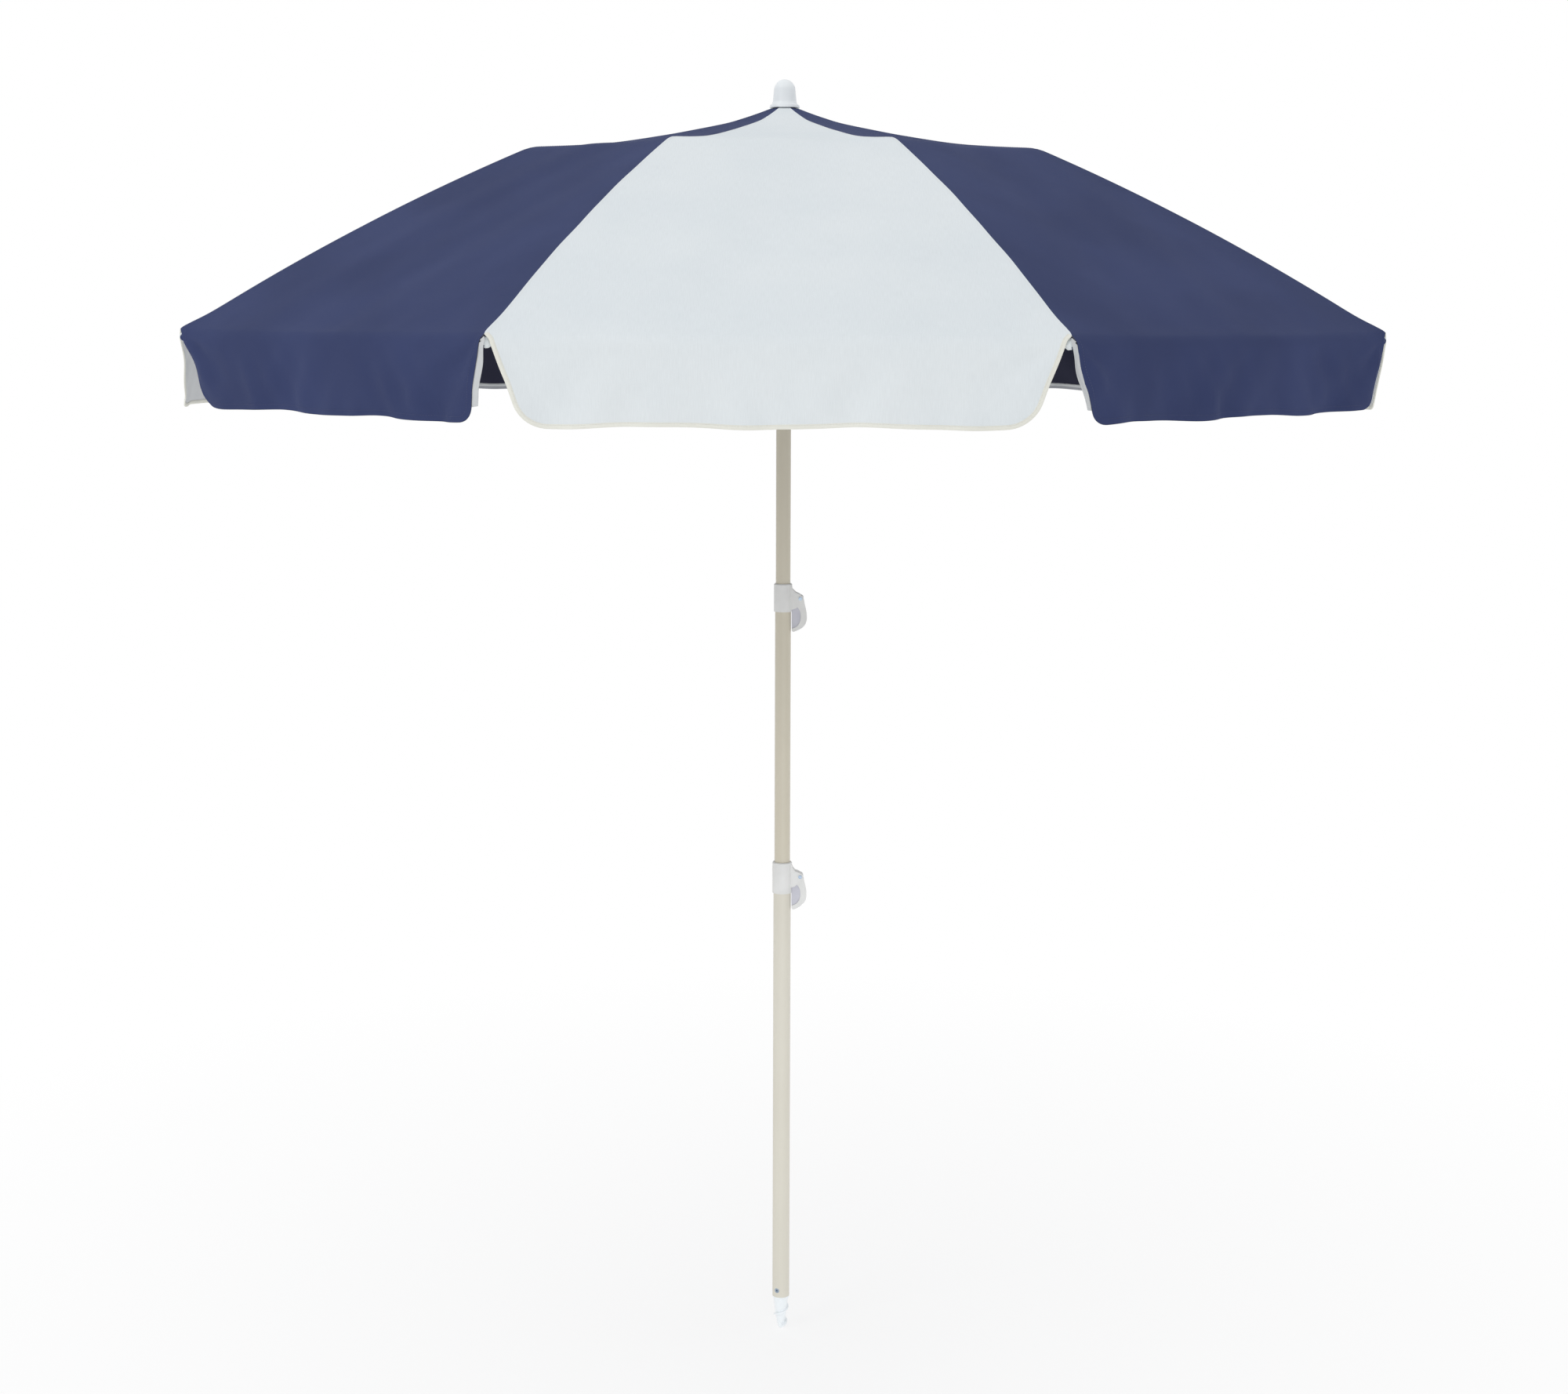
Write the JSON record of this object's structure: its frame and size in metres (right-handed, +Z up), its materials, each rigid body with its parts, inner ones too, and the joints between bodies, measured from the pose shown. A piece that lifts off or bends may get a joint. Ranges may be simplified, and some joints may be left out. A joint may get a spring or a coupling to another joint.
{
  "type": "beach umbrella",
  "caption": "Beach umbrella with alternating white and navy panels, hanging flaps, a telescopic pole with flip-lever clamps and a ground screw tip.",
  "frame": {"origin": "point of the ground screw, on the pole axis", "axes": "+Z up along the pole; -Y towards the middle of the front panel; the clamp levers are on the +X side"},
  "size_m": [1.759, 1.759, 2.099],
  "materials": {
    "canopy_white": "woven polyester, matte",
    "canopy_navy": "woven polyester, matte",
    "pole_paint": "satin powder coat",
    "white_plastic": "moulded, low gloss",
    "clamp_plastic": "moulded, satin",
    "bush_plastic": "moulded nylon",
    "steel": "zinc plated",
    "rib_steel": "white powder coat",
    "rib_fibre": "glass-fibre rod, satin"
  },
  "bodies": {
    "lower_pole": {"lower_tube": "pole_paint", "ground_screw": "white_plastic", "ground_screw_rivet": "steel", "lower_collar": "clamp_plastic", "lower_clamp_pin": "steel"},
    "lower_lever": {"lower_clamp_lever": "clamp_plastic"},
    "middle_pole": {"middle_tube": "pole_paint", "middle_tube_bush": "bush_plastic", "upper_collar": "clamp_plastic", "upper_clamp_pin": "steel"},
    "upper_lever": {"upper_clamp_lever": "clamp_plastic"},
    "upper_pole": {"upper_tube": "pole_paint", "upper_tube_bush": "bush_plastic", "crown": "white_plastic", "crown_ring": "steel", "finial": "white_plastic", "runner_catch": "steel"},
    "runner": {"runner": "white_plastic", "runner_ring": "steel"},
    "runner_button": {"runner_button": "white_plastic"},
    "rib_inner_1": {"rib_inner_1": "rib_steel"},
    "rib_outer_1": {"rib_outer_1": "rib_fibre"},
    "stretcher_1": {"stretcher_1": "rib_steel"},
    "canopy_top_1": {"canopy_top_1": "canopy_white"},
    "canopy_skirt_1": {"canopy_skirt_1": "canopy_white"},
    "rib_inner_2": {"rib_inner_2": "rib_steel"},
    "rib_outer_2": {"rib_outer_2": "rib_fibre"},
    "stretcher_2": {"stretcher_2": "rib_steel"},
    "canopy_top_2": {"canopy_top_2": "canopy_navy"},
    "canopy_skirt_2": {"canopy_skirt_2": "canopy_navy"},
    "rib_inner_3": {"rib_inner_3": "rib_steel"},
    "rib_outer_3": {"rib_outer_3": "rib_fibre"},
    "stretcher_3": {"stretcher_3": "rib_steel"},
    "canopy_top_3": {"canopy_top_3": "canopy_white"},
    "canopy_skirt_3": {"canopy_skirt_3": "canopy_white"},
    "rib_inner_4": {"rib_inner_4": "rib_steel"},
    "rib_outer_4": {"rib_outer_4": "rib_fibre"},
    "stretcher_4": {"stretcher_4": "rib_steel"},
    "canopy_top_4": {"canopy_top_4": "canopy_navy"},
    "canopy_skirt_4": {"canopy_skirt_4": "canopy_navy"},
    "rib_inner_5": {"rib_inner_5": "rib_steel"},
    "rib_outer_5": {"rib_outer_5": "rib_fibre"},
    "stretcher_5": {"stretcher_5": "rib_steel"},
    "canopy_top_5": {"canopy_top_5": "canopy_white"},
    "canopy_skirt_5": {"canopy_skirt_5": "canopy_white"},
    "rib_inner_6": {"rib_inner_6": "rib_steel"},
    "rib_outer_6": {"rib_outer_6": "rib_fibre"},
    "stretcher_6": {"stretcher_6": "rib_steel"},
    "canopy_top_6": {"canopy_top_6": "canopy_navy"},
    "canopy_skirt_6": {"canopy_skirt_6": "canopy_navy"},
    "rib_inner_7": {"rib_inner_7": "rib_steel"},
    "rib_outer_7": {"rib_outer_7": "rib_fibre"},
    "stretcher_7": {"stretcher_7": "rib_steel"},
    "canopy_top_7": {"canopy_top_7": "canopy_white"},
    "canopy_skirt_7": {"canopy_skirt_7": "canopy_white"},
    "rib_inner_8": {"rib_inner_8": "rib_steel"},
    "rib_outer_8": {"rib_outer_8": "rib_fibre"},
    "stretcher_8": {"stretcher_8": "rib_steel"},
    "canopy_top_8": {"canopy_top_8": "canopy_navy"},
    "canopy_skirt_8": {"canopy_skirt_8": "canopy_navy"}
  },
  "joints": [
    {"name": "lower_lever_hinge", "type": "hinge", "parent": "lower_pole", "child": "lower_lever", "pos_m": [0.03, 0, 0.804], "axis": [0, 1, 0], "range_deg": [-115, 0], "stiffness_Nm_per_rad": 0.05, "springref_deg": 17.19},
    {"name": "middle_pole_slide", "type": "slide", "parent": "lower_pole", "child": "middle_pole", "axis": [0, 0, 1], "range_m": [-0.33, 0.06], "stiffness_N_per_m": 300, "springref_m": 0.1182},
    {"name": "upper_lever_hinge", "type": "hinge", "parent": "middle_pole", "child": "upper_lever", "pos_m": [0.0285, 0, 1.2725], "axis": [0, 1, 0], "range_deg": [-115, 0], "stiffness_Nm_per_rad": 0.05, "springref_deg": 17.19},
    {"name": "upper_pole_slide", "type": "slide", "parent": "middle_pole", "child": "upper_pole", "axis": [0, 0, 1], "range_m": [-0.3, 0.06], "stiffness_N_per_m": 300, "springref_m": 0.1083},
    {"name": "runner_slide", "type": "slide", "parent": "upper_pole", "child": "runner", "axis": [0, 0, -1], "range_m": [0, 0.49838], "stiffness_N_per_m": 100, "springref_m": -0.4},
    {"name": "runner_button_press", "type": "slide", "parent": "runner", "child": "runner_button", "axis": [1, 0, 0], "range_m": [-0.004, 0], "deforming": ["runner_catch"]},
    {"name": "rib_1_pivot", "type": "hinge", "parent": "upper_pole", "child": "rib_inner_1", "pos_m": [-0.00918, -0.02217, 2.008], "axis": [0.9239, -0.3827, 0], "range_deg": [-0.5, 79.71]},
    {"name": "rib_1_flex", "type": "hinge", "parent": "rib_inner_1", "child": "rib_outer_1", "pos_m": [-0.15996, -0.38618, 1.975], "axis": [0.9239, -0.3827, 0], "range_deg": [-23.22, 0.5]},
    {"name": "stretcher_1_pivot", "type": "hinge", "parent": "rib_inner_1", "child": "stretcher_1", "pos_m": [-0.13363, -0.32261, 1.97273], "axis": [0.9239, -0.3827, 0], "range_deg": [-140.86, 0.5]},
    {"name": "canopy_1_fold", "type": "hinge", "parent": "upper_pole", "child": "canopy_top_1", "pos_m": [0, -0.02217, 2.008], "axis": [1, 0, 0], "range_deg": [-0.5, 79.71], "deforming": ["canopy_top_1"]},
    {"name": "canopy_1_crease", "type": "hinge", "parent": "canopy_top_1", "child": "canopy_skirt_1", "pos_m": [0, -0.38618, 1.9824], "axis": [1, 0, 0], "range_deg": [-23.22, 0.5], "deforming": ["canopy_skirt_1"]},
    {"name": "rib_2_pivot", "type": "hinge", "parent": "upper_pole", "child": "rib_inner_2", "pos_m": [0.00918, -0.02217, 2.008], "axis": [0.9239, 0.3827, 0], "range_deg": [-0.5, 79.71]},
    {"name": "rib_2_flex", "type": "hinge", "parent": "rib_inner_2", "child": "rib_outer_2", "pos_m": [0.15996, -0.38618, 1.975], "axis": [0.9239, 0.3827, 0], "range_deg": [-23.22, 0.5]},
    {"name": "stretcher_2_pivot", "type": "hinge", "parent": "rib_inner_2", "child": "stretcher_2", "pos_m": [0.13363, -0.32261, 1.97273], "axis": [0.9239, 0.3827, 0], "range_deg": [-140.86, 0.5]},
    {"name": "canopy_2_fold", "type": "hinge", "parent": "upper_pole", "child": "canopy_top_2", "pos_m": [0.01568, -0.01568, 2.008], "axis": [0.7071, 0.7071, 0], "range_deg": [-0.5, 79.71], "deforming": ["canopy_top_2"]},
    {"name": "canopy_2_crease", "type": "hinge", "parent": "canopy_top_2", "child": "canopy_skirt_2", "pos_m": [0.27307, -0.27307, 1.9824], "axis": [0.7071, 0.7071, 0], "range_deg": [-23.22, 0.5], "deforming": ["canopy_skirt_2"]},
    {"name": "rib_3_pivot", "type": "hinge", "parent": "upper_pole", "child": "rib_inner_3", "pos_m": [0.02217, -0.00918, 2.008], "axis": [0.3827, 0.9239, 0], "range_deg": [-0.5, 79.71]},
    {"name": "rib_3_flex", "type": "hinge", "parent": "rib_inner_3", "child": "rib_outer_3", "pos_m": [0.38618, -0.15996, 1.975], "axis": [0.3827, 0.9239, 0], "range_deg": [-23.22, 0.5]},
    {"name": "stretcher_3_pivot", "type": "hinge", "parent": "rib_inner_3", "child": "stretcher_3", "pos_m": [0.32261, -0.13363, 1.97273], "axis": [0.3827, 0.9239, 0], "range_deg": [-140.86, 0.5]},
    {"name": "canopy_3_fold", "type": "hinge", "parent": "upper_pole", "child": "canopy_top_3", "pos_m": [0.02217, 0, 2.008], "axis": [0, 1, 0], "range_deg": [-0.5, 79.71], "deforming": ["canopy_top_3"]},
    {"name": "canopy_3_crease", "type": "hinge", "parent": "canopy_top_3", "child": "canopy_skirt_3", "pos_m": [0.38618, 0, 1.9824], "axis": [0, 1, 0], "range_deg": [-23.22, 0.5], "deforming": ["canopy_skirt_3"]},
    {"name": "rib_4_pivot", "type": "hinge", "parent": "upper_pole", "child": "rib_inner_4", "pos_m": [0.02217, 0.00918, 2.008], "axis": [-0.3827, 0.9239, 0], "range_deg": [-0.5, 79.71]},
    {"name": "rib_4_flex", "type": "hinge", "parent": "rib_inner_4", "child": "rib_outer_4", "pos_m": [0.38618, 0.15996, 1.975], "axis": [-0.3827, 0.9239, 0], "range_deg": [-23.22, 0.5]},
    {"name": "stretcher_4_pivot", "type": "hinge", "parent": "rib_inner_4", "child": "stretcher_4", "pos_m": [0.32261, 0.13363, 1.97273], "axis": [-0.3827, 0.9239, 0], "range_deg": [-140.86, 0.5]},
    {"name": "canopy_4_fold", "type": "hinge", "parent": "upper_pole", "child": "canopy_top_4", "pos_m": [0.01568, 0.01568, 2.008], "axis": [-0.7071, 0.7071, 0], "range_deg": [-0.5, 79.71], "deforming": ["canopy_top_4"]},
    {"name": "canopy_4_crease", "type": "hinge", "parent": "canopy_top_4", "child": "canopy_skirt_4", "pos_m": [0.27307, 0.27307, 1.9824], "axis": [-0.7071, 0.7071, 0], "range_deg": [-23.22, 0.5], "deforming": ["canopy_skirt_4"]},
    {"name": "rib_5_pivot", "type": "hinge", "parent": "upper_pole", "child": "rib_inner_5", "pos_m": [0.00918, 0.02217, 2.008], "axis": [-0.9239, 0.3827, 0], "range_deg": [-0.5, 79.71]},
    {"name": "rib_5_flex", "type": "hinge", "parent": "rib_inner_5", "child": "rib_outer_5", "pos_m": [0.15996, 0.38618, 1.975], "axis": [-0.9239, 0.3827, 0], "range_deg": [-23.22, 0.5]},
    {"name": "stretcher_5_pivot", "type": "hinge", "parent": "rib_inner_5", "child": "stretcher_5", "pos_m": [0.13363, 0.32261, 1.97273], "axis": [-0.9239, 0.3827, 0], "range_deg": [-140.86, 0.5]},
    {"name": "canopy_5_fold", "type": "hinge", "parent": "upper_pole", "child": "canopy_top_5", "pos_m": [0, 0.02217, 2.008], "axis": [-1, 0, 0], "range_deg": [-0.5, 79.71], "deforming": ["canopy_top_5"]},
    {"name": "canopy_5_crease", "type": "hinge", "parent": "canopy_top_5", "child": "canopy_skirt_5", "pos_m": [0, 0.38618, 1.9824], "axis": [-1, 0, 0], "range_deg": [-23.22, 0.5], "deforming": ["canopy_skirt_5"]},
    {"name": "rib_6_pivot", "type": "hinge", "parent": "upper_pole", "child": "rib_inner_6", "pos_m": [-0.00918, 0.02217, 2.008], "axis": [-0.9239, -0.3827, 0], "range_deg": [-0.5, 79.71]},
    {"name": "rib_6_flex", "type": "hinge", "parent": "rib_inner_6", "child": "rib_outer_6", "pos_m": [-0.15996, 0.38618, 1.975], "axis": [-0.9239, -0.3827, 0], "range_deg": [-23.22, 0.5]},
    {"name": "stretcher_6_pivot", "type": "hinge", "parent": "rib_inner_6", "child": "stretcher_6", "pos_m": [-0.13363, 0.32261, 1.97273], "axis": [-0.9239, -0.3827, 0], "range_deg": [-140.86, 0.5]},
    {"name": "canopy_6_fold", "type": "hinge", "parent": "upper_pole", "child": "canopy_top_6", "pos_m": [-0.01568, 0.01568, 2.008], "axis": [-0.7071, -0.7071, 0], "range_deg": [-0.5, 79.71], "deforming": ["canopy_top_6"]},
    {"name": "canopy_6_crease", "type": "hinge", "parent": "canopy_top_6", "child": "canopy_skirt_6", "pos_m": [-0.27307, 0.27307, 1.9824], "axis": [-0.7071, -0.7071, 0], "range_deg": [-23.22, 0.5], "deforming": ["canopy_skirt_6"]},
    {"name": "rib_7_pivot", "type": "hinge", "parent": "upper_pole", "child": "rib_inner_7", "pos_m": [-0.02217, 0.00918, 2.008], "axis": [-0.3827, -0.9239, 0], "range_deg": [-0.5, 79.71]},
    {"name": "rib_7_flex", "type": "hinge", "parent": "rib_inner_7", "child": "rib_outer_7", "pos_m": [-0.38618, 0.15996, 1.975], "axis": [-0.3827, -0.9239, 0], "range_deg": [-23.22, 0.5]},
    {"name": "stretcher_7_pivot", "type": "hinge", "parent": "rib_inner_7", "child": "stretcher_7", "pos_m": [-0.32261, 0.13363, 1.97273], "axis": [-0.3827, -0.9239, 0], "range_deg": [-140.86, 0.5]},
    {"name": "canopy_7_fold", "type": "hinge", "parent": "upper_pole", "child": "canopy_top_7", "pos_m": [-0.02217, 0, 2.008], "axis": [0, -1, 0], "range_deg": [-0.5, 79.71], "deforming": ["canopy_top_7"]},
    {"name": "canopy_7_crease", "type": "hinge", "parent": "canopy_top_7", "child": "canopy_skirt_7", "pos_m": [-0.38618, 0, 1.9824], "axis": [0, -1, 0], "range_deg": [-23.22, 0.5], "deforming": ["canopy_skirt_7"]},
    {"name": "rib_8_pivot", "type": "hinge", "parent": "upper_pole", "child": "rib_inner_8", "pos_m": [-0.02217, -0.00918, 2.008], "axis": [0.3827, -0.9239, 0], "range_deg": [-0.5, 79.71]},
    {"name": "rib_8_flex", "type": "hinge", "parent": "rib_inner_8", "child": "rib_outer_8", "pos_m": [-0.38618, -0.15996, 1.975], "axis": [0.3827, -0.9239, 0], "range_deg": [-23.22, 0.5]},
    {"name": "stretcher_8_pivot", "type": "hinge", "parent": "rib_inner_8", "child": "stretcher_8", "pos_m": [-0.32261, -0.13363, 1.97273], "axis": [0.3827, -0.9239, 0], "range_deg": [-140.86, 0.5]},
    {"name": "canopy_8_fold", "type": "hinge", "parent": "upper_pole", "child": "canopy_top_8", "pos_m": [-0.01568, -0.01568, 2.008], "axis": [0.7071, -0.7071, 0], "range_deg": [-0.5, 79.71], "deforming": ["canopy_top_8"]},
    {"name": "canopy_8_crease", "type": "hinge", "parent": "canopy_top_8", "child": "canopy_skirt_8", "pos_m": [-0.27307, -0.27307, 1.9824], "axis": [0.7071, -0.7071, 0], "range_deg": [-23.22, 0.5], "deforming": ["canopy_skirt_8"]}
  ],
  "couplings": [
    {"joint": "rib_1_pivot", "follows": "runner_slide", "rad_per_m": 2.774},
    {"joint": "rib_1_flex", "follows": "runner_slide", "rad_per_m": -0.79552},
    {"joint": "stretcher_1_pivot", "follows": "runner_slide", "rad_per_m": -4.9153},
    {"joint": "canopy_1_fold", "follows": "runner_slide", "rad_per_m": 2.774},
    {"joint": "canopy_1_crease", "follows": "runner_slide", "rad_per_m": -0.79552},
    {"joint": "rib_2_pivot", "follows": "runner_slide", "rad_per_m": 2.774},
    {"joint": "rib_2_flex", "follows": "runner_slide", "rad_per_m": -0.79552},
    {"joint": "stretcher_2_pivot", "follows": "runner_slide", "rad_per_m": -4.9153},
    {"joint": "canopy_2_fold", "follows": "runner_slide", "rad_per_m": 2.774},
    {"joint": "canopy_2_crease", "follows": "runner_slide", "rad_per_m": -0.79552},
    {"joint": "rib_3_pivot", "follows": "runner_slide", "rad_per_m": 2.774},
    {"joint": "rib_3_flex", "follows": "runner_slide", "rad_per_m": -0.79552},
    {"joint": "stretcher_3_pivot", "follows": "runner_slide", "rad_per_m": -4.9153},
    {"joint": "canopy_3_fold", "follows": "runner_slide", "rad_per_m": 2.774},
    {"joint": "canopy_3_crease", "follows": "runner_slide", "rad_per_m": -0.79552},
    {"joint": "rib_4_pivot", "follows": "runner_slide", "rad_per_m": 2.774},
    {"joint": "rib_4_flex", "follows": "runner_slide", "rad_per_m": -0.79552},
    {"joint": "stretcher_4_pivot", "follows": "runner_slide", "rad_per_m": -4.9153},
    {"joint": "canopy_4_fold", "follows": "runner_slide", "rad_per_m": 2.774},
    {"joint": "canopy_4_crease", "follows": "runner_slide", "rad_per_m": -0.79552},
    {"joint": "rib_5_pivot", "follows": "runner_slide", "rad_per_m": 2.774},
    {"joint": "rib_5_flex", "follows": "runner_slide", "rad_per_m": -0.79552},
    {"joint": "stretcher_5_pivot", "follows": "runner_slide", "rad_per_m": -4.9153},
    {"joint": "canopy_5_fold", "follows": "runner_slide", "rad_per_m": 2.774},
    {"joint": "canopy_5_crease", "follows": "runner_slide", "rad_per_m": -0.79552},
    {"joint": "rib_6_pivot", "follows": "runner_slide", "rad_per_m": 2.774},
    {"joint": "rib_6_flex", "follows": "runner_slide", "rad_per_m": -0.79552},
    {"joint": "stretcher_6_pivot", "follows": "runner_slide", "rad_per_m": -4.9153},
    {"joint": "canopy_6_fold", "follows": "runner_slide", "rad_per_m": 2.774},
    {"joint": "canopy_6_crease", "follows": "runner_slide", "rad_per_m": -0.79552},
    {"joint": "rib_7_pivot", "follows": "runner_slide", "rad_per_m": 2.774},
    {"joint": "rib_7_flex", "follows": "runner_slide", "rad_per_m": -0.79552},
    {"joint": "stretcher_7_pivot", "follows": "runner_slide", "rad_per_m": -4.9153},
    {"joint": "canopy_7_fold", "follows": "runner_slide", "rad_per_m": 2.774},
    {"joint": "canopy_7_crease", "follows": "runner_slide", "rad_per_m": -0.79552},
    {"joint": "rib_8_pivot", "follows": "runner_slide", "rad_per_m": 2.774},
    {"joint": "rib_8_flex", "follows": "runner_slide", "rad_per_m": -0.79552},
    {"joint": "stretcher_8_pivot", "follows": "runner_slide", "rad_per_m": -4.9153},
    {"joint": "canopy_8_fold", "follows": "runner_slide", "rad_per_m": 2.774},
    {"joint": "canopy_8_crease", "follows": "runner_slide", "rad_per_m": -0.79552}
  ]
}
